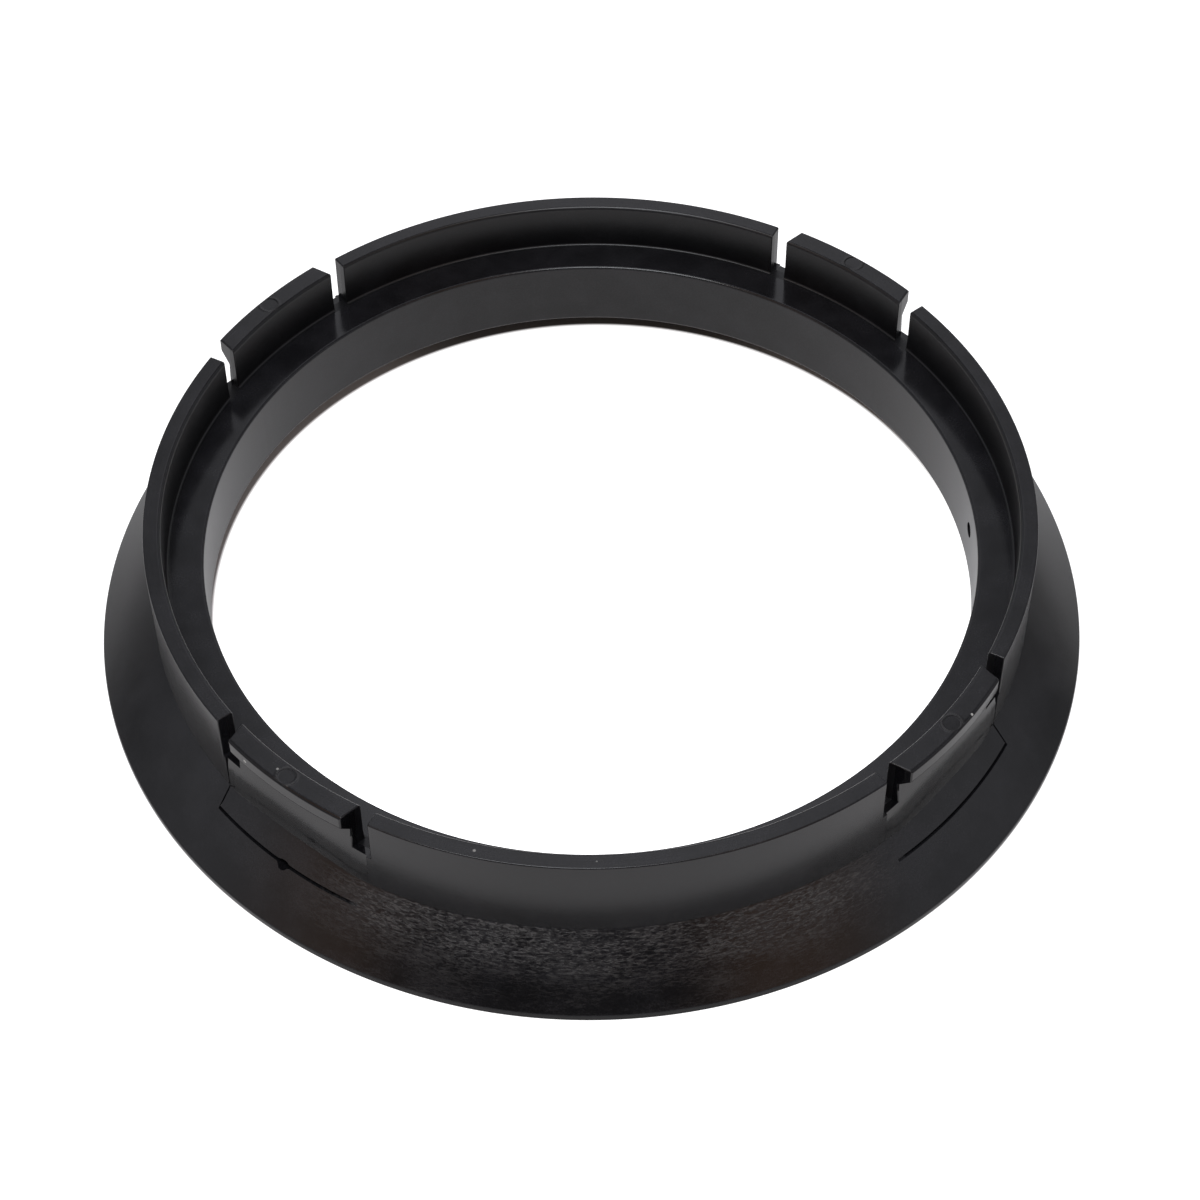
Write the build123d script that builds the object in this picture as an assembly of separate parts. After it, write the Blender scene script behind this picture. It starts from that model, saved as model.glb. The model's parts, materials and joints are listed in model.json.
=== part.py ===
from build123d import *
import math
import os

# Hub centric ring, moulded in one piece. It stands on its flange, with the
# wheel axis along +Z and the origin on that axis in the plane of the flange.
# Sizes are in millimetres and angles in degrees.

# Seats: the hub in the bore, the wheel on the collar and on the cone below it
hub_bore_diameter = 66.6
wheel_bore_diameter = 76.0
seat_cone_angle = 45.0

# Ring section
flange_diameter = 86.0
rim_height = 0.6
shelf_height = 9.3
collar_height = 4.6
collar_thickness = 1.5
lead_in_height = 2.8
lead_in_angle = 45.0
root_radius = 0.3
edge_break = 0.15

# Snap tabs, each standing free between two slots of the collar. A stem's outer face leans in
# towards the top, and its thickness is that at the shelf.
tab_count = 4
first_tab_angle = 45.0
window_angle = 24.6
tab_width = 12.8
tab_end_draft = 9.5
stem_thickness = 1.2
stem_draft = 3.0
barb_reach = 0.5
barb_lip_height = 1.4
barb_back_angle = 45.0

# Track of the mould slide that frees each barb: the wall is set back along it
slide_width = 15.4

# Cutting tools stand past the faces that they cut by this much
overcut = 1.0

bore_radius = hub_bore_diameter / 2
collar_radius = wheel_bore_diameter / 2
flange_radius = flange_diameter / 2
collar_bore_radius = collar_radius - collar_thickness
barb_radius = collar_radius + barb_reach
base_bore_radius = bore_radius + lead_in_height * math.tan(math.radians(lead_in_angle))
total_height = shelf_height + collar_height


def cone_height(radius):
    """Height of the wheel's cone seat at a radius."""
    return rim_height + (flange_radius - radius) * math.tan(math.radians(seat_cone_angle))


def stem_radius(height):
    """Radius of the stems' outer face at a height."""
    return collar_bore_radius + stem_thickness + (shelf_height - height) * math.tan(math.radians(stem_draft))


def stem_foot():
    """Point of the half section where the stems' outer face meets the cone seat."""
    lean = math.tan(math.radians(stem_draft))
    fall = math.tan(math.radians(seat_cone_angle))
    radius = (stem_radius(0) - lean * cone_height(0)) / (1 - lean * fall)
    return radius, cone_height(radius)


def inside_stem():
    """Radius that lies inside the stems' material at every height."""
    return (collar_bore_radius + stem_radius(total_height)) / 2


def section(corners, broken=(), rounded=()):
    """Half section in the XZ plane, with its sharp edges broken and its roots rounded."""
    face = make_face(Polyline(*corners, close=True)).face()
    for corner in broken:
        face = face.chamfer_2d(edge_break, edge_break, [face.vertices().sort_by_distance(corner)[0]])
    for corner in rounded:
        face = face.fillet_2d(root_radius, [face.vertices().sort_by_distance(corner)[0]])
    return Plane.XZ * face


def sector(half_section, angle):
    """A half section turned about the axis, with its middle on the XZ plane."""
    return Rot(0, 0, -angle / 2) * revolve(half_section, Axis.Z, angle)


def core():
    """Flange, cone, bore and shelf, with a thin collar as thick as the tabs' stems."""
    rim_edge = (flange_radius, rim_height)
    inner_edge = (collar_bore_radius, total_height)
    collar_root = (collar_bore_radius, shelf_height)
    bore_edge = (bore_radius, shelf_height)
    corners = [
        (base_bore_radius, 0),
        (flange_radius, 0),
        rim_edge,
        stem_foot(),
        (stem_radius(total_height), total_height),
        inner_edge,
        collar_root,
        bore_edge,
        (bore_radius, lead_in_height),
    ]
    return revolve(section(corners, [rim_edge, inner_edge, bore_edge], [collar_root]), Axis.Z)


def wheel_wall():
    """Outer layer of the collar that carries the wheel, left out along each slide track."""
    outer_edge = (collar_radius, total_height)
    corners = [
        (inside_stem(), rim_height),
        (collar_radius, rim_height),
        outer_edge,
        (inside_stem(), total_height),
    ]
    wall = revolve(section(corners, [outer_edge]), Axis.Z)
    track = Pos(collar_radius, 0, 0) * Box(collar_radius, slide_width, 3 * total_height)
    for place in PolarLocations(0, tab_count, first_tab_angle):
        wall -= place * track
    return wall


def barb():
    """Barb of one tab on +X, long enough to reach into both of its slots."""
    lip_foot = total_height - barb_lip_height
    back_slope = math.tan(math.radians(barb_back_angle))
    lip_edge = (barb_radius, total_height)
    corners = [
        (inside_stem(), lip_foot - (barb_radius - inside_stem()) * back_slope),
        (barb_radius, lip_foot),
        lip_edge,
        (inside_stem(), total_height),
    ]
    tab_angle = 2 * math.degrees(math.asin(tab_width / 2 / collar_bore_radius))
    return sector(section(corners, [lip_edge]), (tab_angle + window_angle) / 2)


def tab_plan():
    """Block on +X that holds one tab: its ends draw in towards the outside."""
    slope = math.tan(math.radians(tab_end_draft))
    inner_face = math.sqrt(collar_bore_radius**2 - (tab_width / 2) ** 2)
    far = barb_radius + 2 * overcut
    near_half = tab_width / 2 + inner_face * slope
    far_half = tab_width / 2 - (far - inner_face) * slope
    outline = Polyline((0, near_half), (0, -near_half), (far, -far_half), (far, far_half), close=True)
    return extrude(make_face(outline), 2 * total_height)


def slots():
    """Pair of slots beside the tab on +X, level with the shelf, radial on the collar's side."""
    inner = collar_bore_radius - overcut
    outer = barb_radius + overcut
    top = total_height + overcut
    corners = [(inner, shelf_height), (outer, shelf_height), (outer, top), (inner, top)]
    return sector(section(corners), window_angle) - tab_plan()


def hub_ring():
    """The whole ring: barbs are added all together, then the slots free the tabs."""
    places = PolarLocations(0, tab_count, first_tab_angle)
    ring = core() + wheel_wall() + [place * barb() for place in places]
    return ring - [place * slots() for place in places]


os.makedirs("parts", exist_ok=True)
export_step(hub_ring(), "parts/hub_ring.step")
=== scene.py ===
"""Looks of a hub centric ring: the moulded ring, the floor it lies on, its light and its camera.

The scene is in metres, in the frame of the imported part: the wheel axis is +Z and the flange's flat face
lies at height 0. The ring's own sizes are in millimetres, and its finished mesh is scaled to metres.
"""

import json
import logging
import math
from dataclasses import dataclass
from enum import Enum
from typing import Callable, NamedTuple, Union

import bmesh
import bpy
from mathutils import Matrix, Vector


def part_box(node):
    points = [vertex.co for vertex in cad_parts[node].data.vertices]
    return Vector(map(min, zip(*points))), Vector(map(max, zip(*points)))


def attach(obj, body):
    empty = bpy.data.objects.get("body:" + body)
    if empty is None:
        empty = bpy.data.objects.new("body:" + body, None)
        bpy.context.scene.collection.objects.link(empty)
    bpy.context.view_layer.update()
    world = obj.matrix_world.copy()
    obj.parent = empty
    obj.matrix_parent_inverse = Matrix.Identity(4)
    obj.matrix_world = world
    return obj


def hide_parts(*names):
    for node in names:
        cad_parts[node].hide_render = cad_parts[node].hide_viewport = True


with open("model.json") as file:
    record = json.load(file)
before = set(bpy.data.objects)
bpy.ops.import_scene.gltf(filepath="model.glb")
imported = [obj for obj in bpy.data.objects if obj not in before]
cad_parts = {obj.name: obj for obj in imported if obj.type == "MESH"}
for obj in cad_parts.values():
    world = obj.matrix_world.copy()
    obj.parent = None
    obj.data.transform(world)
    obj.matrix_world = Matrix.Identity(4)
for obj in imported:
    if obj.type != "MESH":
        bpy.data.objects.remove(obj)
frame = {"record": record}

LOG = logging.getLogger("hub_ring")
MM = 0.001
PER_MM = 1.0 / MM
# Turn of the photograph's view about the wheel axis
VIEW_TURN = math.radians(-4.87)


class Field:
    """One output of a shader node. Python's operators on it add Math nodes."""

    def __init__(self, graph: "Graph", socket: bpy.types.NodeSocket) -> None:
        """Keeps the socket and the graph that it belongs to."""
        self.graph = graph
        self.socket = socket

    def __add__(self, other: "Value") -> "Field":
        """This value plus another."""
        return self.graph.math("ADD", self, other)

    def __radd__(self, other: "Value") -> "Field":
        """Another value plus this one."""
        return self.graph.math("ADD", other, self)

    def __sub__(self, other: "Value") -> "Field":
        """This value less another."""
        return self.graph.math("SUBTRACT", self, other)

    def __rsub__(self, other: "Value") -> "Field":
        """Another value less this one."""
        return self.graph.math("SUBTRACT", other, self)

    def __mul__(self, other: "Value") -> "Field":
        """This value times another."""
        return self.graph.math("MULTIPLY", self, other)

    def __rmul__(self, other: "Value") -> "Field":
        """Another value times this one."""
        return self.graph.math("MULTIPLY", other, self)

    def __truediv__(self, other: "Value") -> "Field":
        """This value divided by another."""
        return self.graph.math("DIVIDE", self, other)

    def __rtruediv__(self, other: "Value") -> "Field":
        """Another value divided by this one."""
        return self.graph.math("DIVIDE", other, self)

    def __abs__(self) -> "Field":
        """This value without its sign."""
        return self.graph.math("ABSOLUTE", self)

    def sibling(self, output: str) -> "Field":
        """Another output of the same node."""
        return Field(self.graph, self.socket.node.outputs[output])

    def step(self, low: float, high: float) -> "Field":
        """A smooth step that is 0 at low and 1 at high.

        Args:
            low: Value at which the step starts. It may lie above high for a falling step.
            high: Value at which the step is complete.

        Returns:
            The step, between 0 and 1.
        """
        sockets = {"Value": self, "From Min": min(low, high), "From Max": max(low, high)}
        rising = self.graph.node("ShaderNodeMapRange", sockets, interpolation_type="SMOOTHSTEP")
        return 1.0 - rising if low > high else rising


Value = Union[Field, float]
Colour = tuple[float, float, float, float]
Ends = tuple[float, float]
Sockets = dict[Union[str, int], object]


class Graph:
    """A node tree that is filled node by node."""

    def __init__(self, tree: bpy.types.NodeTree) -> None:
        """Takes a tree and empties it."""
        self.tree = tree
        tree.nodes.clear()

    def node(
        self, kind: str, sockets: Sockets, output: Union[str, int] = 0, **settings: object
    ) -> Field:
        """Adds a node.

        Args:
            kind: The node's type.
            sockets: Values or links of its inputs, by name or by number.
            output: The output that is wanted, by name or by number.
            **settings: The node's own settings, which are set first.

        Returns:
            The wanted output, or the first input of a node that has no outputs.
        """
        made = self.tree.nodes.new(kind)
        for name, setting in settings.items():
            setattr(made, name, setting)
        for name, value in sockets.items():
            if isinstance(value, Field):
                self.tree.links.new(value.socket, made.inputs[name])
            else:
                made.inputs[name].default_value = value
        return Field(self, made.outputs[output] if len(made.outputs) else made.inputs[0])

    def math(self, operation: str, *values: Value) -> Field:
        """Adds a Math node on one, two or three values."""
        return self.node("ShaderNodeMath", dict(enumerate(values)), operation=operation)

    def vector(self, x: Value, y: Value, z: Value) -> Field:
        """A vector of three values."""
        return self.node("ShaderNodeCombineXYZ", {0: x, 1: y, 2: z})

    def mix(self, share: Value, first: Union[Field, Colour], second: Union[Field, Colour]) -> Field:
        """A colour between two colours."""
        colours = {0: share, 6: first, 7: second}
        return self.node("ShaderNodeMix", colours, 2, data_type="RGBA")

    def noise(
        self, place: Field, detail: float = 2.0, roughness: float = 0.5, bent: float = 0.0
    ) -> Field:
        """Noise between 0 and 1 with cells about one unit wide.

        Args:
            place: The coordinates.
            detail: How many finer layers are added.
            roughness: How strong each finer layer is.
            bent: How far the cells are bent out of shape.

        Returns:
            The noise.
        """
        layers = {"Detail": detail, "Roughness": roughness, "Distortion": bent}
        return self.node("ShaderNodeTexNoise", {"Vector": place, "Scale": 1.0, **layers})


class Place:
    """Where a point of the ring lies, in millimetres, as fields of a material.

    The tabs stand on the lines half-way between X and Y. Outward runs along the nearest of these lines,
    and beside is the distance from it.
    """

    def __init__(self, graph: Graph) -> None:
        """Adds the nodes that read the point's place on the object.

        Args:
            graph: The material's graph.
        """
        self.graph = graph
        spot = graph.node("ShaderNodeTexCoord", {}, "Object")
        axes = [graph.node("ShaderNodeSeparateXYZ", {0: spot}, axis) * PER_MM for axis in "XYZ"]
        self.x, self.y, self.height = axes
        self.radius = graph.math("SQRT", self.x * self.x + self.y * self.y)
        wide = abs(self.x)
        deep = abs(self.y)
        self.outward = (wide + deep) * math.sqrt(0.5)
        self.beside = abs(wide - deep) * math.sqrt(0.5)

    def distance(self, point: tuple[float, float, float]) -> Field:
        """Distance from a point of the ring, in millimetres."""
        spot = self.graph.vector(self.x, self.y, self.height)
        ends = {0: spot, 1: point}
        return self.graph.node("ShaderNodeVectorMath", ends, "Value", operation="DISTANCE")

    def grains(self, size: float) -> Field:
        """Coordinates for noise whose cells are as wide as they are high.

        Args:
            size: Width of a cell in millimetres.

        Returns:
            The coordinates.
        """
        return self.graph.vector(self.x / size, self.y / size, self.height / size)

    def streaks(self, length: float, width: float, radius: float) -> Field:
        """Coordinates for noise whose cells are drawn out round the axis.

        Args:
            length: Length of a cell round the axis, in millimetres.
            width: Its width along the section, in millimetres.
            radius: The radius, in millimetres, at which the length holds.

        Returns:
            The coordinates, which join up round the ring.
        """
        turn = radius / length
        along = (self.radius - self.height) / width
        return self.graph.vector(self.x / self.radius * turn, self.y / self.radius * turn, along)


class Skin(Enum):
    """Kinds of skin that differ from the ring's common one, each with its roughness.

    Attributes:
        INSIDE: The collar's inner wall.
        BORE: The bore.
        TRACK: The wall in the slide's track and the tabs' faces.
        SHELF: The shelf.
        TOPS: The tops of the collar and the tabs.
    """

    INSIDE = 0.34
    BORE = 0.30
    TRACK = 0.10
    SHELF = 0.15
    TOPS = 0.25


class Crumb(NamedTuple):
    """One crumb that sticks to the ring.

    Its direction is in degrees and its lengths are in millimetres. Its tone says how pale it is.
    """

    angle: float
    radius: float
    height: float
    size: float
    tone: float

    def point(self) -> tuple[float, float, float]:
        """Place of the crumb's middle, in millimetres."""
        turn = math.radians(self.angle)
        return self.radius * math.cos(turn), self.radius * math.sin(turn), self.height


@dataclass(frozen=True)
class MouldedPlastic:
    """Black moulded plastic with a satin skin, faintly turned tops and one scuffed stretch of the cone.

    Lengths are in millimetres and angles in radians. Its colour also carries painted light and shade: the
    shelf is painted lighter, the collar's inner wall, the track's walls and the cone by the rim are
    painted darker, and the burr round the pin marks carries a painted highlight.

    Attributes:
        cone_from: Radius from which the cone seat runs outwards.
        cone_below: Height below which it lies.
        tops_from: Height of the collar's and the tabs' tops.
        shelf_at: Height of the shelf.
        inside_from: Radius from which the root and the collar's inner wall run outwards.
        outside_from: Radius from which the outer faces of the collar and the tabs lie.
        bore_at: Radius of the bore.
        track_half_width: Half the width of the mould slide's track.
        pin_place: Distance of the ejector pins' marks from the axis.
        pin_radius: Radius of these marks.
        scuff_angle: Direction of the middle of the scuffed stretch.
        scuff_ends: Cosines of the angles from there at which the stretch ends and is full.
        crumbs: The few crumbs that lie on the tabs and on the front of the collar.
    """

    cone_from: float
    cone_below: float
    tops_from: float
    shelf_at: float
    inside_from: float
    outside_from: float
    bore_at: float
    track_half_width: float
    pin_place: float
    pin_radius: float
    scuff_angle: float = math.radians(266.0)
    scuff_ends: Ends = (0.76, 0.92)
    crumbs: tuple[Crumb, ...] = (
        Crumb(219.0, 38.50, 13.15, 0.20, 1.0),
        Crumb(223.4, 37.56, 13.90, 0.14, 0.40),
        Crumb(250.7, 37.31, 13.90, 0.16, 0.40),
        Crumb(265.4, 37.30, 13.90, 0.10, 0.25),
        Crumb(317.6, 38.35, 13.80, 0.15, 0.80),
    )

    black: Colour = (0.0030, 0.0030, 0.0036, 1.0)
    grey_bloom: Colour = (0.0118, 0.0118, 0.0136, 1.0)
    scuff_grey: Colour = (0.058, 0.056, 0.055, 1.0)
    dust: Colour = (0.48, 0.48, 0.46, 1.0)
    ior: float = 1.37

    cloud_bloom: float = 0.45
    grain_bloom: float = 0.55
    # Painted light and shade: the shelf is painted lighter, and the collar's inner wall, the track's
    # walls and the cone by the rim are painted darker
    shelf_bloom: float = 0.05
    wall_bloom_loss: float = 0.40
    rim_bloom_loss: float = 0.30
    # The burr's tone is a painted highlight round the pin marks
    burr_tone: float = 0.22
    speck_tone: float = 0.50
    thin_scuff_tone: float = 0.06
    thin_scuff_contrast: float = 0.20
    dense_scuff_tone: float = 0.21
    dense_scuff_contrast: float = 0.44
    patch_contrast: float = 0.45

    skin_roughness: float = 0.20
    scuff_roughness: float = 0.36
    cloud_roughness: float = 0.06
    turned_roughness: float = 0.10
    speck_roughness: float = 0.40

    grain_size: float = 0.15
    grain_depth: float = 0.0016
    cloud_size: float = 3.2
    turned_length: float = 9.0
    turned_width: float = 0.12
    turned_depth: float = 0.002
    burr_edge: float = 0.10
    burr_reach: float = 0.34
    burr_depth: float = 0.03
    scuff_length: float = 0.6
    scuff_width: float = 0.22
    scuff_depth: float = 0.012
    patch_length: float = 6.0
    patch_width: float = 2.2
    dense_to: float = 1.4
    thin_from: float = 4.2
    rim_from: float = 2.6
    rim_to: float = 4.0
    speck_spacing: float = 5.5
    speck_radius: float = 0.132
    zone_edge: float = 0.10
    zone_core: float = 0.02
    track_fade: float = 0.30
    cone_edge: float = 0.06

    def material(self) -> bpy.types.Material:
        """Makes the material.

        Returns:
            The material, with its zones found from the place on the ring.
        """
        made = bpy.data.materials.new("moulded_plastic")
        made.use_nodes = True
        graph = Graph(made.node_tree)
        place = Place(graph)
        tops = place.height.step(self.tops_from - self.zone_edge / 2, self.tops_from)
        grain = graph.noise(place.grains(self.grain_size), detail=3.0, roughness=0.6)
        cloud = graph.noise(place.grains(self.cloud_size), detail=3.0, roughness=0.55)
        turned = graph.noise(place.streaks(self.turned_length, self.turned_width, self.cone_from))
        burr = tops * self.pin_burr(graph, place) * cloud.step(0.25, 0.60)
        # Painted highlight: the burr round the pin marks is painted lighter, mixed in with the real
        # scuffs
        scuff = self.scuffs(graph, place) + burr * self.burr_tone
        speck = self.specks(graph, place)

        zones = self.zones(place, tops)
        walls = zones[Skin.INSIDE] + zones[Skin.TRACK]
        rim = place.radius.step(self.cone_from + self.rim_from, self.cone_from + self.rim_to)
        bloom_and_painted_shading = cloud.step(0.30, 0.70) * self.cloud_bloom + grain.step(0.35, 0.75) * self.grain_bloom
        # Painted light on the shelf, and painted shade on the inner and track walls and on the cone by
        # the rim
        bloom_and_painted_shading = bloom_and_painted_shading + zones[Skin.SHELF] * self.shelf_bloom
        bloom_and_painted_shading = bloom_and_painted_shading - walls * self.wall_bloom_loss - rim * self.rim_bloom_loss
        skin = graph.mix(bloom_and_painted_shading, self.black, self.grey_bloom)
        colour = graph.mix(speck, graph.mix(scuff, skin, self.scuff_grey), self.dust)

        rough = self.skin_roughness + (cloud - 0.5) * self.cloud_roughness
        for kind, zone in zones.items():
            rough = rough + zone * (kind.value - self.skin_roughness)
        rough = rough + tops * (turned - 0.5) * self.turned_roughness
        rough = rough + scuff * (self.scuff_roughness - self.skin_roughness)
        rough = rough + speck * self.speck_roughness

        relief = grain * self.grain_depth + scuff * self.scuff_depth
        relief = relief + tops * turned * self.turned_depth + burr * self.burr_depth
        normal = graph.node("ShaderNodeBump", {"Height": relief, "Strength": 1.0, "Distance": MM})
        shader = {"Base Color": colour, "Roughness": rough, "Normal": normal, "IOR": self.ior}
        surface = graph.node("ShaderNodeBsdfPrincipled", shader)
        graph.node("ShaderNodeOutputMaterial", {"Surface": surface})
        return made

    def zones(self, place: Place, tops: Field) -> dict[Skin, Field]:
        """Zones of the ring whose skin is smoother or rougher than the rest.

        Args:
            place: The place on the ring.
            tops: 1 on the collar's and the tabs' tops.

        Returns:
            A field for each kind of skin, which is 1 where it lies.
        """
        edge = self.zone_edge
        core = self.zone_core
        outside = place.radius.step(self.outside_from, self.outside_from + edge)
        below = 1.0 - tops
        inside = place.radius.step(self.inside_from, self.inside_from + edge) * (1.0 - outside) * below
        track = place.beside.step(self.track_half_width + edge / 2, self.track_half_width - edge / 2)
        track = track * place.height.step(self.cone_below - self.track_fade, self.cone_below)
        shelf = place.height.step(self.shelf_at - edge, self.shelf_at - core)
        shelf = shelf * place.height.step(self.shelf_at + edge, self.shelf_at + core)
        return {
            Skin.INSIDE: inside,
            Skin.BORE: place.radius.step(self.bore_at + edge, self.bore_at + core),
            Skin.TRACK: track * outside * below,
            Skin.SHELF: shelf * place.radius.step(self.inside_from, self.inside_from - edge),
            Skin.TOPS: tops,
        }

    def pin_burr(self, graph: Graph, place: Place) -> Field:
        """Low burr round each ejector pin's mark.

        Args:
            graph: The material's graph.
            place: The place on the ring.

        Returns:
            1 on the burr's crest and 0 elsewhere.
        """
        outward = place.outward - self.pin_place
        away = graph.math("SQRT", outward * outward + place.beside * place.beside)
        crest = self.pin_radius + self.burr_edge
        rise = away.step(self.pin_radius - self.burr_edge, crest)
        return rise * away.step(self.pin_radius + self.burr_reach, crest)

    def scuffs(self, graph: Graph, place: Place) -> Field:
        """Short scuffs along one stretch of the cone, dense next to the collar and thin towards the rim.

        Args:
            graph: The material's graph.
            place: The place on the ring.

        Returns:
            1 on a scuff and 0 elsewhere.
        """
        cone = place.radius.step(self.cone_from, self.cone_from + self.cone_edge)
        cone = cone * place.height.step(self.cone_below + self.zone_edge / 2, self.cone_below)
        facing = place.x * math.cos(self.scuff_angle) + place.y * math.sin(self.scuff_angle)
        stretch = (facing / place.radius).step(*self.scuff_ends)
        inner = place.radius.step(self.cone_from + self.thin_from, self.cone_from + self.dense_to)
        streaks = place.streaks(self.scuff_length, self.scuff_width, self.cone_from)
        fine = graph.noise(streaks, detail=4.0, roughness=0.65, bent=0.8).step(0.34, 0.70)
        patch = graph.noise(place.streaks(self.patch_length, self.patch_width, self.cone_from))
        contrast = self.thin_scuff_contrast + self.dense_scuff_contrast * inner
        tone = self.thin_scuff_tone + self.dense_scuff_tone * inner + (fine - 0.5) * contrast
        tone = tone + (patch - 0.5) * self.patch_contrast
        return tone.step(-0.05, 0.95) * cone * stretch

    def specks(self, graph: Graph, place: Place) -> Field:
        """Sparse specks of dust, and the crumbs.

        Args:
            graph: The material's graph.
            place: The place on the ring.

        Returns:
            The tone of the dust, and 0 where there is none.
        """
        cells = {"Vector": place.grains(self.speck_spacing), "Scale": 1.0}
        near = graph.node("ShaderNodeTexVoronoi", cells, "Distance")
        chosen = graph.node("ShaderNodeSeparateColor", {0: near.sibling("Color")}, "Red")
        size = self.speck_radius / self.speck_spacing
        specks = near.step(size, size / 2) * chosen.step(0.80, 0.82) * self.speck_tone
        for crumb in self.crumbs:
            shape = place.distance(crumb.point()).step(crumb.size, crumb.size / 2)
            specks = graph.math("MAXIMUM", specks, shape * crumb.tone)
        return specks


class Zone(Enum):
    """What stands on the shelf's level between two columns of the ring."""

    TAB = "tab"
    SLOT = "slot"
    ARC = "arc"


class Row(NamedTuple):
    """One point of a section: a name, shared by all columns, with its radius and height."""

    name: str
    radius: float
    height: float


class Part(Enum):
    """Where a column lies in respect of the mould slide's track."""

    IN_TRACK = "in track"
    SEAM = "seam"
    OUTSIDE = "outside"


@dataclass(frozen=True)
class Column:
    """One line of points up the ring's section.

    Attributes:
        angle: Gives the column's angle from the tab's middle at a radius.
        zone: What stands between this column and the next one, going away from the tab's middle.
        part: Where the column lies in respect of the slide's track.
        ends: The zone that ends at this column with a wall of its own, if any.
    """

    angle: Callable[[float], float]
    zone: Zone
    part: Part = Part.OUTSIDE
    ends: Union[Zone, None] = None


Points = dict[str, bmesh.types.BMVert]


def spread(first: float, last: float, count: int) -> list[float]:
    """Values evenly spaced between two ends, without the ends.

    Args:
        first: The end that the values start from.
        last: The end that they run to.
        count: How many values.

    Returns:
        The values.
    """
    return [first + (last - first) * (i + 1) / (count + 1) for i in range(count)]


@dataclass
class HubRing:
    """The moulded ring: a flange with its cone seat, the bore, the shelf and the slotted collar.

    Its sizes are in millimetres and its angles in radians. The finished mesh is scaled to metres.
    """

    flange_radius: float
    total_height: float
    bore_radius: float
    collar_radius: float = 38.0
    collar_thickness: float = 1.5
    rim_height: float = 0.6
    shelf_height: float = 9.3
    lead_in_height: float = 2.8
    root_radius: float = 0.18
    inner_edge: float = 0.32
    lip_edge: float = 0.28
    soft_edge: float = 0.24
    crisp_edge: float = 0.12

    tab_count: int = 4
    first_tab_angle: float = math.radians(45.0)
    window_half_angle: float = math.radians(12.3)
    tab_half_width: float = 6.4
    tab_end_draft: float = math.radians(9.5)
    stem_thickness: float = 1.2
    stem_drafts: tuple[float, ...] = tuple(math.radians(lean) for lean in (4.5, 4.5, 3.9, 5.6))
    stem_flatness: float = 0.5
    barb_reach: float = 0.5
    barb_lip_height: float = 1.4

    slide_half_width: float = 7.7
    side_seam_width: float = 0.14
    seam_radius: float = 39.45
    seam_width: float = 0.20
    seam_depth: float = 0.55
    shut_seams: tuple[tuple[int, float], ...] = ((2, 1.0), (3, -1.0))
    seam_fade_from: float = math.radians(8.0)
    flash_tab: int = 2
    flash_angle: float = math.radians(0.33)
    flash_width: float = 0.42
    flash_depth: float = 0.7
    flash_length: float = 0.9
    flash_outward: float = 0.75

    pin_mark_place: float = 37.6
    pin_mark_radius: float = 0.75
    pin_mark_depth: float = 0.05
    gate_mark_angle: float = math.radians(-0.1)
    gate_mark_height: float = 6.4
    gate_mark_radius: float = 0.7
    gate_mark_depth: float = 0.35
    mark_segments: int = 48

    tab_columns: int = 34
    arc_columns: int = 64
    cone_rows: int = 5
    wall_rows: int = 3
    shelf_rows: int = 2
    root_points: int = 4
    edge_segments: int = 3
    foot_rounds: int = 8

    cone_margin: float = 0.40
    root_margin: float = 0.30
    top_margin: float = 0.02

    def __post_init__(self) -> None:
        """Works out the sizes that follow from the others."""
        self.collar_bore = self.collar_radius - self.collar_thickness
        self.stem_radius = self.collar_bore + self.stem_thickness
        self.stem_leans = [math.tan(draft) for draft in self.stem_drafts]
        self.barb_radius = self.collar_radius + self.barb_reach
        self.lead_in_radius = self.bore_radius + self.lead_in_height
        self.lip_foot = self.total_height - self.barb_lip_height
        self.crease_height = self.cone_height(self.collar_radius)

    def cone_height(self, radius: float) -> float:
        """Height of the 45 degree cone seat at a radius."""
        return self.rim_height + self.flange_radius - radius

    def track_radius(self, tab: int, height: float) -> float:
        """Radius of a stem's outer face and of the wall below it at a height. It leans in upwards."""
        return self.stem_radius + (self.shelf_height - height) * self.stem_leans[tab]

    def wall_radius(self, tab: int, part: Part, shut: bool, height: float) -> float:
        """Radius of the outer wall below the shelf's level.

        Args:
            tab: Number of the tab that stands above it.
            part: Where the wall lies in respect of the slide's track.
            shut: Whether the seam there is shut, so that the wall steps out without a groove.
            height: Height on the wall.

        Returns:
            The radius.
        """
        if part is Part.OUTSIDE:
            return self.collar_radius
        inner = self.track_radius(tab, height)
        return (inner + self.collar_radius) / 2 if shut and part is Part.SEAM else inner

    def wall_foot(self, tab: int, part: Part, shut: bool) -> float:
        """Radius at which the outer wall meets the cone, found step by step from the collar's radius.

        Args:
            tab: Number of the tab that stands above it.
            part: Where the wall lies in respect of the slide's track.
            shut: Whether the seam there is shut.

        Returns:
            The radius.
        """
        radius = self.collar_radius
        for _ in range(self.foot_rounds):
            radius = self.wall_radius(tab, part, shut, self.cone_height(radius))
        return radius

    def bowed(self, column: Column, row: Row) -> Row:
        """A point of the section, moved where it lies on a track's wall.

        That wall is flatter than the collar. It keeps its place at the tab's ends and never stands out
        past the collar. Its foot moves along the cone and its top along the barb.

        Args:
            column: The column.
            row: The point.

        Returns:
            The point in its place.
        """
        on_wall = row.name.startswith(("crease", "ledge", "stem_", "wall_"))
        if column.part is Part.OUTSIDE or not on_wall:
            return row
        end = self.tab_end(self.stem_radius)
        beside = column.angle(self.stem_radius)
        out = self.stem_flatness / 2 * self.stem_radius * (beside**2 - end**2)
        out = min(out, self.collar_radius - row.radius)
        rise = {"crease": -out, "stem_top": out}
        return Row(row.name, row.radius + out, row.height + rise.get(row.name, 0.0))

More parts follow.
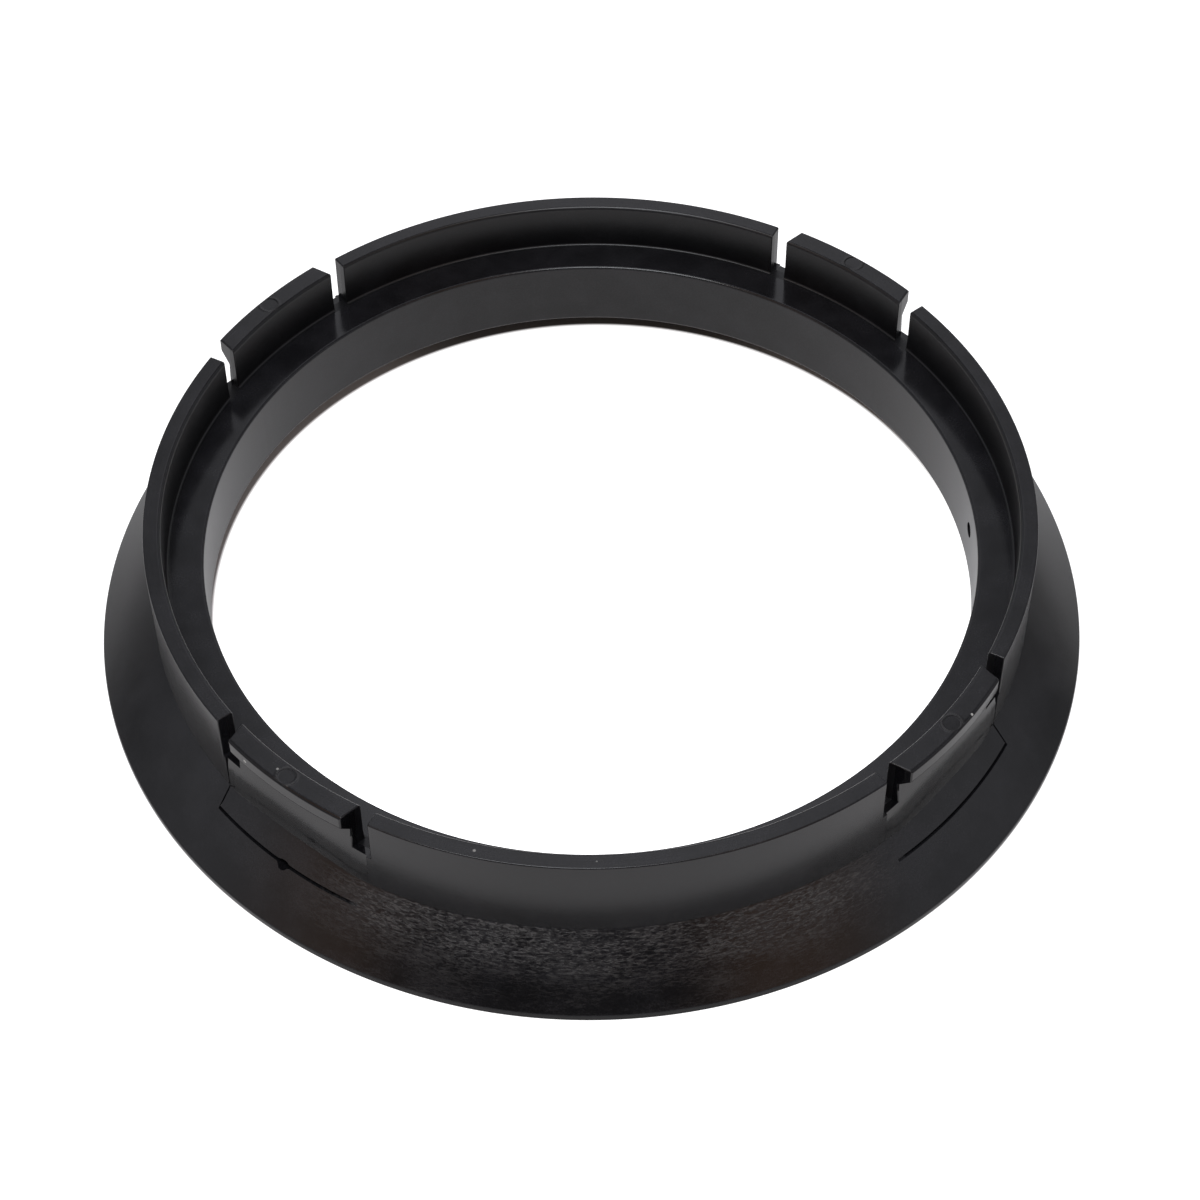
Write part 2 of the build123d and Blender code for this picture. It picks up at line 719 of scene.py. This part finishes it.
    def tab_end(self, radius: float) -> float:
        """Angle of a tab's end face from the tab's middle at a radius.

        Args:
            radius: Distance from the axis. The face's line is kept to the tab's own radii.

        Returns:
            The angle in radians.
        """
        radius = min(max(radius, self.collar_bore), self.barb_radius)
        inner_face = math.sqrt(self.collar_bore**2 - self.tab_half_width**2)
        draft = self.tab_end_draft
        reach = self.tab_half_width * math.cos(draft) + inner_face * math.sin(draft)
        return math.asin(reach / radius) - draft

    def slide_edge(self, radius: float, offset: float) -> float:
        """Angle of the slide track's edge from the tab's middle at a radius.

        Args:
            radius: Distance from the axis. The line is kept to the radii where the track shows.
            offset: Distance of the wanted line from the track's edge, outwards.

        Returns:
            The angle in radians.
        """
        radius = min(max(radius, self.stem_radius), self.seam_radius)
        return math.asin((self.slide_half_width + offset) / radius)

    def slot_middle(self, radius: float) -> float:
        """Angle half-way between a tab's end and the seam beside it, at a radius."""
        return (self.tab_end(radius) + self.slide_edge(radius, -self.side_seam_width / 2)) / 2

    def half_columns(self) -> list[Column]:
        """Columns from a tab's middle to the middle of the arc beside it.

        Returns:
            The columns, in order.
        """
        half_seam = self.side_seam_width / 2
        quarter = math.pi / self.tab_count
        columns = []
        for i in range(self.tab_columns):
            share = i / self.tab_columns
            columns.append(Column(lambda r, s=share: s * self.tab_end(r), Zone.TAB, Part.IN_TRACK))
        columns += [
            Column(self.tab_end, Zone.SLOT, Part.IN_TRACK, Zone.TAB),
            Column(self.slot_middle, Zone.SLOT, Part.IN_TRACK),
            Column(lambda r: self.slide_edge(r, -half_seam), Zone.SLOT, Part.IN_TRACK),
            Column(lambda r: self.slide_edge(r, 0.0), Zone.SLOT, Part.SEAM),
            Column(lambda r: self.slide_edge(r, half_seam), Zone.SLOT, Part.OUTSIDE),
            Column(lambda r: self.window_half_angle, Zone.ARC, Part.OUTSIDE, Zone.ARC),
        ]
        for angle in spread(self.window_half_angle, quarter, self.arc_columns):
            columns.append(Column(lambda r, a=angle: a, Zone.ARC))
        columns.append(Column(lambda r: quarter, Zone.ARC))
        return columns

    def flash(self, tab: int, angle: float) -> float:
        """How much of the flash blob at the middle of one arc seam there is at an angle.

        Args:
            tab: Number of the tab.
            angle: Angle from the tab's middle, signed.

        Returns:
            A share between 0 and 1.
        """
        if tab != self.flash_tab:
            return 0.0
        along = (angle - self.flash_angle) * self.seam_radius / (self.flash_length / 2)
        return math.exp(-(along**4))

    def seam_share(self, tab: int, side: float, angle: float) -> float:
        """How far the arc seam is open at an angle: it closes towards a side with a shut seam.

        Args:
            tab: Number of the tab.
            side: 1 on the tab's left as seen from the axis, and -1 on its right.
            angle: Angle from the tab's middle, unsigned.

        Returns:
            A share between 0 and 1.
        """
        if (tab, side) not in self.shut_seams:
            return 1.0
        end = self.slide_edge(self.seam_radius, 0.0)
        return min(max((end - angle) / (end - self.seam_fade_from), 0.0), 1.0)

    def base_rows(self, column: Column, tab: int, side: float) -> list[Row]:
        """Points of the section from the bottom face out, up the cone and the wall to the shelf's level.

        Args:
            column: The column.
            tab: Number of the tab that the column belongs to.
            side: 1 on the tab's left as seen from the axis, and -1 on its right.

        Returns:
            The points, in order.
        """
        angle = column.angle(self.seam_radius)
        flash = self.flash(tab, side * angle)
        half_seam = self.seam_width / 2
        rows = [
            Row("base_inner", self.lead_in_radius, 0.0),
            Row("base_middle", (self.lead_in_radius + self.flange_radius) / 2, 0.0),
            Row("base_outer", self.flange_radius, 0.0),
            Row("rim", self.flange_radius, self.rim_height),
        ]
        below_seam = spread(self.flange_radius, self.seam_radius + half_seam, self.cone_rows)
        for i, radius in enumerate(below_seam):
            rows.append(Row(f"cone_low_{i}", radius, self.cone_height(radius)))
        open_arc = 0.0 if column.part is Part.OUTSIDE else self.seam_share(tab, side, angle)
        sunk = math.sqrt(0.5) * (self.seam_depth * open_arc + self.flash_depth * flash)
        outward = self.flash_outward * self.flash_width * flash
        outer = self.seam_radius + half_seam + outward
        inner = self.seam_radius - half_seam + outward - self.flash_width * flash
        middle = (outer + inner) / 2
        rows.append(Row("seam_outer", outer, self.cone_height(outer)))
        rows.append(Row("seam", middle - sunk, self.cone_height(middle) - sunk))
        rows.append(Row("seam_inner", inner, self.cone_height(inner)))
        shut = (tab, side) in self.shut_seams
        depth = self.seam_depth if column.part is Part.SEAM and not shut else 0.0
        sunk = depth * math.sqrt(0.5)
        foot = self.wall_foot(tab, column.part, shut)
        for i, radius in enumerate(spread(self.seam_radius - half_seam, foot, self.wall_rows)):
            rows.append(Row(f"cone_high_{i}", radius - sunk, self.cone_height(radius) - sunk))
        crease = self.cone_height(foot)
        rows.append(Row("crease", foot - depth, crease - depth))
        for i, height in enumerate(spread(crease, self.shelf_height, self.wall_rows)):
            radius = self.wall_radius(tab, column.part, shut, height) - depth
            rows.append(Row(f"wall_{i}", radius, height))
        top = self.shelf_height
        rows.append(Row("ledge", self.wall_radius(tab, column.part, shut, top) - depth / 2, top))
        return rows

    def upper_rows(self, zone: Zone, tab: int) -> list[Row]:
        """Points of what stands above the shelf's level, from the outside over the top to the root.

        Args:
            zone: What stands there.
            tab: Number of the tab that is there or next to it.

        Returns:
            The points, without the ledge and the root that every zone shares.
        """
        if zone is Zone.SLOT:
            return [Row("floor", (self.collar_bore + self.stem_radius) / 2, self.shelf_height)]
        top = self.total_height
        if zone is Zone.ARC:
            outer = self.collar_radius
            heights = spread(self.shelf_height, top, self.wall_rows)
            rows = [Row(f"arc_wall_{i}", outer, height) for i, height in enumerate(heights)]
        else:
            below_barb = self.track_radius(tab, 0.0) - self.barb_radius + self.lip_foot
            under = below_barb / (1.0 + self.stem_leans[tab])
            middle = (self.shelf_height + under) / 2
            rows = [
                Row("stem_middle", self.track_radius(tab, middle), middle),
                Row("stem_top", self.track_radius(tab, under), under),
                Row("lip_foot", self.barb_radius, self.lip_foot),
            ]
            outer = self.barb_radius
        name = zone.value
        rows.append(Row(f"{name}_top_outer", outer, top))
        rows.append(Row(f"{name}_top_middle", (outer + self.collar_bore) / 2, top))
        rows.append(Row(f"{name}_top_inner", self.collar_bore, top))
        for i, height in enumerate(spread(top, self.shelf_height + self.root_radius, self.wall_rows)):
            rows.append(Row(f"{name}_inner_{i}", self.collar_bore, height))
        for i in range(self.root_points):
            turn = math.pi / 2 * i / self.root_points
            radius = self.collar_bore - self.root_radius * (1.0 - math.cos(turn))
            height = self.shelf_height + self.root_radius * (1.0 - math.sin(turn))
            rows.append(Row(f"{name}_root_{i}", radius, height))
        return rows

    def inside_rows(self) -> list[Row]:
        """Points of the section from the collar's root over the shelf and down the bore to the lead-in.

        Returns:
            The points, in order.
        """
        root = self.collar_bore - self.root_radius
        rows = [Row("root", root, self.shelf_height)]
        for i, radius in enumerate(spread(root, self.bore_radius, self.shelf_rows)):
            rows.append(Row(f"shelf_{i}", radius, self.shelf_height))
        rows.append(Row("bore_top", self.bore_radius, self.shelf_height))
        for i, height in enumerate(spread(self.shelf_height, self.lead_in_height, self.wall_rows)):
            rows.append(Row(f"bore_{i}", self.bore_radius, height))
        rows.append(Row("bore_foot", self.bore_radius, self.lead_in_height))
        middle = (self.bore_radius + self.lead_in_radius) / 2
        rows.append(Row("lead_in", middle, self.lead_in_height / 2))
        return rows

    def rounded_rows(self) -> dict[str, float]:
        """Names the points whose line round the ring is a rounded edge.

        Returns:
            The size of the rounding, by name.
        """
        crisp = ("arc_top_outer", "rim", "base_inner", "base_outer", "lip_foot", "bore_foot")
        inner = ("tab_top_inner", "arc_top_inner")
        sizes = {**dict.fromkeys(crisp, self.crisp_edge), **dict.fromkeys(inner, self.inner_edge)}
        return {**sizes, "bore_top": self.soft_edge, "tab_top_outer": self.lip_edge}

    def sharp_rows(self) -> set[str]:
        """Names of the points whose line round the ring is a sharp inner corner."""
        return {"crease", "stem_top", "seam_outer", "seam", "seam_inner"}

    def cage(self) -> bmesh.types.BMesh:
        """Builds the ring's faces, with marks for its rounded and sharp edges.

        Returns:
            A closed mesh.
        """
        mesh = bmesh.new()
        weights = mesh.edges.layers.float.new("bevel_weight_edge")
        half = self.half_columns()
        names = {zone: self.names(zone) for zone in Zone}
        steps = list(range(-len(half) + 1, len(half) - 1))
        order = [(tab, step) for tab in range(self.tab_count) for step in steps]
        points: list[Points] = []
        for tab, step in order:
            points.append(self.column_points(mesh, half[abs(step)], tab, math.copysign(1.0, step)))
        for place, (_, step) in enumerate(order):
            after = points[(place + 1) % len(order)]
            zone = half[step].zone if step >= 0 else half[-step - 1].zone
            self.join_columns(mesh, weights, points[place], after, names[zone])
        for place, (_, step) in enumerate(order):
            column = half[abs(step)]
            if column.ends is not None:
                self.close_end(mesh, weights, points[place], column.ends)
            if column.zone is Zone.SLOT and column.ends is None:
                self.sharpen_seam(mesh, points[place], names[Zone.SLOT])
        bmesh.ops.recalc_face_normals(mesh, faces=mesh.faces)
        for face in mesh.faces:
            face.smooth = True
        return mesh

    def sharpen_seam(self, mesh: bmesh.types.BMesh, column: Points, names: list[str]) -> None:
        """Marks the edges of a seam that run up the wall as sharp.

        Args:
            mesh: The mesh.
            column: Points of a column beside the seam or in it.
            names: The closed section there.
        """
        climb = names[names.index("seam_outer"):names.index("ledge") + 1]
        for name, following in zip(climb, climb[1:]):
            mesh.edges.get((column[name], column[following])).smooth = False

    def names(self, zone: Zone) -> list[str]:
        """Names of the closed section of a zone, in order."""
        base = self.base_rows(self.half_columns()[0], 0, 1.0)
        return [row.name for row in base + self.upper_rows(zone, 0) + self.inside_rows()]

    def column_points(self, mesh: bmesh.types.BMesh, column: Column, tab: int, side: float) -> Points:
        """Adds the points of one column.

        Args:
            mesh: The mesh that takes them.
            column: The column.
            tab: Number of the tab that it belongs to.
            side: 1 on the tab's left as seen from the axis, and -1 on its right.

        Returns:
            The points by name.
        """
        rows = self.base_rows(column, tab, side) + self.inside_rows()
        zones = (column.zone,) if column.ends is None else (column.ends, Zone.SLOT)
        for zone in zones:
            rows += self.upper_rows(zone, tab)
        middle = self.first_tab_angle + tab * 2 * math.pi / self.tab_count
        made = {}
        for row in rows:
            angle = middle + side * column.angle(row.radius)
            _, radius, height = self.bowed(column, row)
            spot = (radius * math.cos(angle), radius * math.sin(angle), height)
            made[row.name] = mesh.verts.new(spot)
        return made

    def join_columns(
        self,
        mesh: bmesh.types.BMesh,
        weights: bmesh.types.BMLayerItem,
        column: Points,
        after: Points,
        names: list[str],
    ) -> None:
        """Adds the faces between two columns and marks the edges that run round the ring.

        Args:
            mesh: The mesh that takes them.
            weights: The layer of edges to round.
            column: Points of the first column.
            after: Points of the next one.
            names: The closed section between them.
        """
        rounded = self.rounded_rows()
        for name, following in zip(names, names[1:] + names[:1]):
            mesh.faces.new((column[name], column[following], after[following], after[name]))
        for name in names:
            edge = mesh.edges.get((column[name], after[name]))
            edge[weights] = rounded.get(name, 0.0) / self.inner_edge
            if name in self.sharp_rows() or (name == "ledge" and "floor" in names):
                edge.smooth = False

    def close_end(
        self,
        mesh: bmesh.types.BMesh,
        weights: bmesh.types.BMLayerItem,
        column: Points,
        zone: Zone,
    ) -> None:
        """Adds the end face of a tab or an arc and marks its edges.

        Args:
            mesh: The mesh that takes it.
            weights: The layer of edges to round.
            column: Points of the column at the end.
            zone: What ends there.
        """
        outline = ["ledge"] + [row.name for row in self.upper_rows(zone, 0)] + ["root", "floor"]
        mesh.faces.new([column[name] for name in outline])
        for name, following in zip(outline, outline[1:] + outline[:1]):
            edge = mesh.edges.get((column[name], column[following]))
            low = {name, following} & {"root", "floor"} or "_root_" in name
            if low:
                edge.smooth = False
            else:
                edge[weights] = self.crisp_edge / self.inner_edge

    def mould_marks(self) -> bpy.types.Object:
        """Builds the discs that sink the ejector pins' marks into the tabs and the gate's into the bore.

        Returns:
            One object with all the discs.
        """
        mesh = bmesh.new()
        on_top = Matrix.Translation((self.pin_mark_place, 0.0, self.total_height))
        for tab in range(self.tab_count):
            angle = self.first_tab_angle + tab * 2 * math.pi / self.tab_count
            turned = Matrix.Rotation(angle, 4, "Z") @ on_top
            self.disc(mesh, turned, self.pin_mark_radius, self.pin_mark_depth)
        in_bore = Matrix.Translation((self.bore_radius, 0.0, self.gate_mark_height))
        sideways = Matrix.Rotation(math.pi / 2, 4, "Y")
        turned = Matrix.Rotation(self.gate_mark_angle, 4, "Z") @ in_bore @ sideways
        self.disc(mesh, turned, self.gate_mark_radius, self.gate_mark_depth)
        return as_object("mould_marks", mesh)

    def disc(self, mesh: bmesh.types.BMesh, place: Matrix, radius: float, depth: float) -> None:
        """Adds a disc that stands as far out of a face as it sinks into it.

        Args:
            mesh: The mesh that takes it.
            place: Its place, with the face's normal along Z.
            radius: Its radius.
            depth: How far it sinks into the face.
        """
        size = {"radius1": radius, "radius2": radius, "depth": 2 * depth}
        bmesh.ops.create_cone(mesh, cap_ends=True, segments=self.mark_segments, matrix=place, **size)

    def build(self) -> bpy.types.Object:
        """Builds the finished mesh: rounded edges and mould marks are worked into it.

        Returns:
            The ring.
        """
        ring = as_object("moulded_ring", self.cage())
        marks = self.mould_marks()
        rounding = ring.modifiers.new("rounded_edges", "BEVEL")
        rounding.limit_method = "WEIGHT"
        rounding.width = self.inner_edge
        rounding.segments = self.edge_segments
        rounding.use_clamp_overlap = False
        sinking = ring.modifiers.new("mould_marks", "BOOLEAN")
        sinking.operation = "DIFFERENCE"
        sinking.solver = "EXACT"
        sinking.object = marks
        shading = ring.modifiers.new("even_shading", "WEIGHTED_NORMAL")
        shading.keep_sharp = True
        shading.weight = 100
        settle(ring)
        ring.data.transform(Matrix.Scale(MM, 4))
        bpy.data.objects.remove(marks)
        return ring

    def dress(self, ring: bpy.types.Object) -> None:
        """Gives the ring its finish.

        Args:
            ring: The finished mesh.
        """
        finish = MouldedPlastic(
            cone_from=self.collar_radius,
            cone_below=self.crease_height + self.cone_margin,
            tops_from=self.total_height - self.top_margin,
            shelf_at=self.shelf_height,
            inside_from=self.collar_bore - self.root_margin,
            outside_from=(self.collar_bore + self.stem_radius) / 2,
            bore_at=self.bore_radius,
            track_half_width=self.slide_half_width,
            pin_place=self.pin_mark_place,
            pin_radius=self.pin_mark_radius,
        )
        ring.data.materials.clear()
        ring.data.materials.append(finish.material())


def as_object(name: str, mesh: bmesh.types.BMesh) -> bpy.types.Object:
    """Puts a mesh into the scene as an object.

    Args:
        name: The object's name.
        mesh: The mesh, which is freed.

    Returns:
        The object.
    """
    data = bpy.data.meshes.new(name)
    mesh.to_mesh(data)
    mesh.free()
    made = bpy.data.objects.new(name, data)
    bpy.context.scene.collection.objects.link(made)
    return made


def settle(piece: bpy.types.Object) -> None:
    """Works an object's modifiers into its mesh.

    Args:
        piece: The object.
    """
    state = bpy.context.evaluated_depsgraph_get()
    shape = piece.evaluated_get(state)
    done = bpy.data.meshes.new_from_object(shape, preserve_all_data_layers=True, depsgraph=state)
    done.name = piece.name
    piece.modifiers.clear()
    piece.data = done


@dataclass(frozen=True)
class Studio:
    """A white floor under a soft box, in a pale room that is brown and dark in front of the ring.

    Lengths are in metres. The floor's own colour dims away from the ring, and it carries painted shade
    beside the ring and under it, and a painted shadow in front of it. Its lifts are a light of its own,
    for rays that look at it. A pair of ends gives where a change starts and where it is complete: the
    sine of a height, or the cosine of a direction from the front or, for the window's sides, from the
    back.

    Attributes:
        floor_lift: Lift for every ray that looks at the floor.
        camera_lift: Further lift for the camera, outside the ring.
        far_lift: Further lift for the camera there, where the floor is dim.
        sheet_from: Distance from the axis at which the floor starts to dim.
        sheet_to: Distance at which it is as dim as it gets.
        outside_from: Distance from which it starts to count as outside the ring.
        shadow_share: How dim the floor is in the narrow shadow in front of the ring.
        side_share: How dim the painted shade on the floor beside the ring and behind it is.
        under_share: How dim the painted shadow under the ring's sides is. Under its back it is as dim as
            it gets.
        hole_radius: Radius of the round inside the ring that the camera sees lifted to white.
        hole_edge: Width of that round's edge.
        hole_shift: How far the round's middle lies behind the axis.
        hole_aside: How far it lies to the right of the axis.
        hole_lift: Further lift for the camera inside the round.
        facing: Turn of the view about the axis.
        front_turn: Turn of the room's brown and dark front from there.
    """

    floor_size: float = 40.0
    floor_gap: float = 0.02 * MM
    floor_white: Colour = (0.95, 0.95, 0.95, 1.0)
    floor_far: Colour = (0.22, 0.22, 0.22, 1.0)
    floor_lift: float = 0.14
    camera_lift: float = 0.22
    far_lift: float = 0.80
    sheet_from: float = 43.0 * MM
    sheet_to: float = 76.0 * MM
    outside_from: float = 38.7 * MM
    shadow_from: float = 43.0 * MM
    shadow_to: float = 45.0 * MM
    shadow_ends: Ends = (0.66, 0.90)
    shadow_share: float = 0.80
    side_ends: Ends = (0.82, 0.58)
    side_share: float = 0.40
    rear_ends: Ends = (-0.82, -0.96)
    under_share: float = 0.45
    hole_radius: float = 33.75 * MM
    hole_edge: float = 0.4 * MM
    hole_shift: float = 1.2 * MM
    hole_aside: float = 0.35 * MM
    hole_lift: float = 0.85

    box_size: float = 0.45
    box_place: tuple[float, float, float] = (-0.12, -0.28, 0.90)
    box_watts: float = 7.2
    box_colour: tuple[float, float, float] = (0.925, 0.955, 1.0)

    horizon: float = 0.17
    low_sky: float = 0.80
    low_sky_ends: Ends = (0.0, 0.26)
    high_sky: float = 0.30
    high_sky_ends: Ends = (0.45, 0.70)
    sky_tint: tuple[float, float, float] = (0.985, 0.99, 1.05)
    back_window: float = 1.30
    window_rise: float = 0.80
    window_side_ends: Ends = (0.979, 0.994)
    window_foot_ends: Ends = (0.52, 0.64)
    window_rise_ends: Ends = (0.72, 0.84)
    front_brown: Colour = (0.72, 0.42, 0.25, 1.0)
    front_dark: Colour = (0.05, 0.048, 0.047, 1.0)
    front_foot_ends: Ends = (0.30, 0.48)
    brown_ends: Ends = (0.26, 0.54)
    dark_ends: Ends = (0.74, 0.89)
    facing: float = VIEW_TURN
    front_turn: float = math.radians(-9.5)

    def floor(self) -> bpy.types.Object:
        """Lays the floor just under the ring.

        Returns:
            The floor.
        """
        mesh = bmesh.new()
        bmesh.ops.create_grid(mesh, x_segments=1, y_segments=1, size=self.floor_size / 2)
        floor = as_object("floor", mesh)
        floor.location.z = -self.floor_gap
        floor.data.materials.append(self.floor_finish())
        return floor

    def turned(self, x: Field, y: Field) -> tuple[Field, Field]:
        """Turns level coordinates into the view.

        Args:
            x: Coordinate along X.
            y: Coordinate along Y.

        Returns:
            The coordinates across the view, to the right, and along it, to the back.
        """
        across = x * math.cos(self.facing) + y * math.sin(self.facing)
        along = y * math.cos(self.facing) - x * math.sin(self.facing)
        return across, along

    def floor_finish(self) -> bpy.types.Material:
        """Makes the floor's white, lifted for rays that look at it and not for the light it gives.

        The ring mirrors a floor that dims away from it. Only the camera sees it lifted back to white,
        apart from a thin shadow under the back of the bore, which is partly real shade and partly
        painted.

        Returns:
            The material.
        """
        made = bpy.data.materials.new("white_floor")
        made.use_nodes = True
        graph = Graph(made.node_tree)
        spot = graph.node("ShaderNodeTexCoord", {}, "Object")
        x, y = (graph.node("ShaderNodeSeparateXYZ", {0: spot}, axis) for axis in "XY")
        away = graph.math("SQRT", x * x + y * y)
        across, along = self.turned(x, y)
        back = along - self.hole_shift
        aside = across - self.hole_aside
        from_middle = graph.math("SQRT", aside * aside + back * back)
        hole = from_middle.step(self.hole_radius + self.hole_edge, self.hole_radius)
        outside = away.step(self.outside_from, self.shadow_from)

        ends = {"Value": away, "From Min": self.sheet_from, "From Max": self.sheet_to}
        far = graph.node("ShaderNodeMapRange", ends)
        front = along / away * -1.0
        shadow = away.step(self.shadow_to, self.shadow_from) * front.step(*self.shadow_ends)
        # Painted shade on the floor beside and behind the ring, where the ring mirrors it
        beside = front.step(*self.side_ends) * self.side_share
        around = graph.math("MAXIMUM", shadow * self.shadow_share, beside) * outside
        # Painted shadow on the floor under the ring, darkest under its back
        rear = front.step(*self.rear_ends)
        under = self.under_share + rear * (1.0 - self.under_share)
        dim = graph.math("MAXIMUM", far, around + (1.0 - hole) * (1.0 - outside) * under)

        camera = graph.node("ShaderNodeLightPath", {}, "Is Camera Ray")
        mirrored = camera.sibling("Is Glossy Ray")
        through = camera.sibling("Is Transmission Ray")
        looking = graph.math("MAXIMUM", graph.math("MAXIMUM", camera, mirrored), through)
        whitened = hole * self.hole_lift + outside * (self.camera_lift + dim * self.far_lift)
        lifted = looking * self.floor_lift * (hole + outside) + camera * whitened
        shader = {
            "Base Color": graph.mix(dim, self.floor_white, self.floor_far),
            "Roughness": 1.0,
            "Specular IOR Level": 0.0,
            "Emission Color": graph.node("ShaderNodeCombineColor", dict.fromkeys(range(3), lifted)),
            "Emission Strength": 1.0,
        }
        surface = graph.node("ShaderNodeBsdfPrincipled", shader)
        graph.node("ShaderNodeOutputMaterial", {"Surface": surface})
        return made

    def soft_box(self) -> bpy.types.Object:
        """Hangs the soft box over the ring.

        Returns:
            The lamp.
        """
        lamp = bpy.data.lights.new("soft_box", "AREA")
        lamp.size = self.box_size
        lamp.energy = self.box_watts
        lamp.color = self.box_colour
        hung = bpy.data.objects.new("soft_box", lamp)
        hung.location = self.box_place
        hung.rotation_euler = (-Vector(self.box_place)).to_track_quat("-Z", "Y").to_euler()
        bpy.context.scene.collection.objects.link(hung)
        return hung

    def room(self) -> None:
        """Lights the ring from all round: pale, with a window behind and a brown and dark front."""
        world = bpy.data.worlds.new("pale_room")
        world.use_nodes = True
        graph = Graph(world.node_tree)
        way = graph.node("ShaderNodeTexCoord", {}, "Generated")
        x, y, up = (graph.node("ShaderNodeSeparateXYZ", {0: way}, axis) for axis in "XYZ")
        across, along = self.turned(x, y)
        # Straight up there is no level direction, so its length is kept above zero
        least = 1e-4
        level = graph.math("SQRT", graph.math("MAXIMUM", across * across + along * along, least))

        pale = self.horizon + up.step(*self.low_sky_ends) * (self.low_sky - self.horizon)
        pale = pale - up.step(*self.high_sky_ends) * (self.low_sky - self.high_sky)
        window = (along / level).step(*self.window_side_ends) * up.step(*self.window_foot_ends)
        glow = self.back_window - self.high_sky + up.step(*self.window_rise_ends) * self.window_rise
        pale = pale + window * glow
        tinted = {i: pale * share for i, share in enumerate(self.sky_tint)}
        room = graph.node("ShaderNodeCombineColor", tinted)

        raised = up.step(*self.front_foot_ends)
        ahead = across * math.sin(self.front_turn) - along * math.cos(self.front_turn)
        front = ahead / level
        brown = front.step(*self.brown_ends) * raised
        dark = front.step(*self.dark_ends) * raised
        tone = graph.mix(dark, graph.mix(brown, room, self.front_brown), self.front_dark)
        light = graph.node("ShaderNodeBackground", {"Color": tone, "Strength": 1.0})
        graph.node("ShaderNodeOutputWorld", {"Surface": light})
        bpy.context.scene.world = world


@dataclass(frozen=True)
class PhotoCamera:
    """The photograph's camera, which looks down at the ring from the front."""

    lens: float = 90.09
    sensor: float = 36.0
    away: float = 170.4 * MM
    height: float = 204.8 * MM
    tilt: float = math.radians(50.14)
    pan: float = math.radians(0.256)
    roll: float = math.radians(-0.478)
    turn: float = VIEW_TURN

    def place(self) -> bpy.types.Object:
        """Puts the camera in its place and makes it the scene's camera.

        Returns:
            The camera.
        """
        forward = Vector(
            (
                math.sin(self.pan) * math.cos(self.tilt),
                math.cos(self.pan) * math.cos(self.tilt),
                -math.sin(self.tilt),
            )
        )
        level = forward.cross(Vector((0.0, 0.0, 1.0))).normalized()
        rise = level.cross(forward)
        right = math.cos(self.roll) * level + math.sin(self.roll) * rise
        up = math.cos(self.roll) * rise - math.sin(self.roll) * level
        axes = Matrix((right, up, -forward)).transposed().to_4x4()
        spot = Matrix.Translation((0.0, -self.away, self.height))
        lens = bpy.data.cameras.new("photo_camera")
        lens.lens = self.lens
        lens.sensor_width = self.sensor
        lens.clip_start = 1.0 * MM
        camera = bpy.data.objects.new("photo_camera", lens)
        camera.matrix_world = Matrix.Rotation(self.turn, 4, "Z") @ spot @ axes
        bpy.context.scene.collection.objects.link(camera)
        bpy.context.scene.camera = camera
        return camera


def main() -> None:
    """Builds the ring, dresses it and sets up the floor, the light and the camera."""
    logging.basicConfig(level=logging.INFO, format="%(message)s")
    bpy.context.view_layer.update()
    lowest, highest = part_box("hub_ring")
    bore = next(mount for mount in frame["record"]["mounts"] if mount["name"] == "hub_bore")

    # The mesh stays this many millimetres inside the CAD box
    slack = 1e-4
    ring_maker = HubRing(
        flange_radius=highest.x * PER_MM - slack,
        total_height=(highest.z - lowest.z) * PER_MM - slack,
        bore_radius=bore["dims"]["r_mm"],
    )
    ring = ring_maker.build()
    ring_maker.dress(ring)
    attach(ring, "root")
    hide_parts("hub_ring")
    LOG.info("%s: %d faces", ring.name, len(ring.data.polygons))

    studio = Studio()
    studio.room()
    for thing in (studio.floor(), studio.soft_box(), PhotoCamera().place()):
        LOG.info("%s at %s", thing.name, tuple(round(value, 3) for value in thing.location))

    bpy.context.scene.view_settings.view_transform = "Standard"


if __name__ == "__main__":
    main()
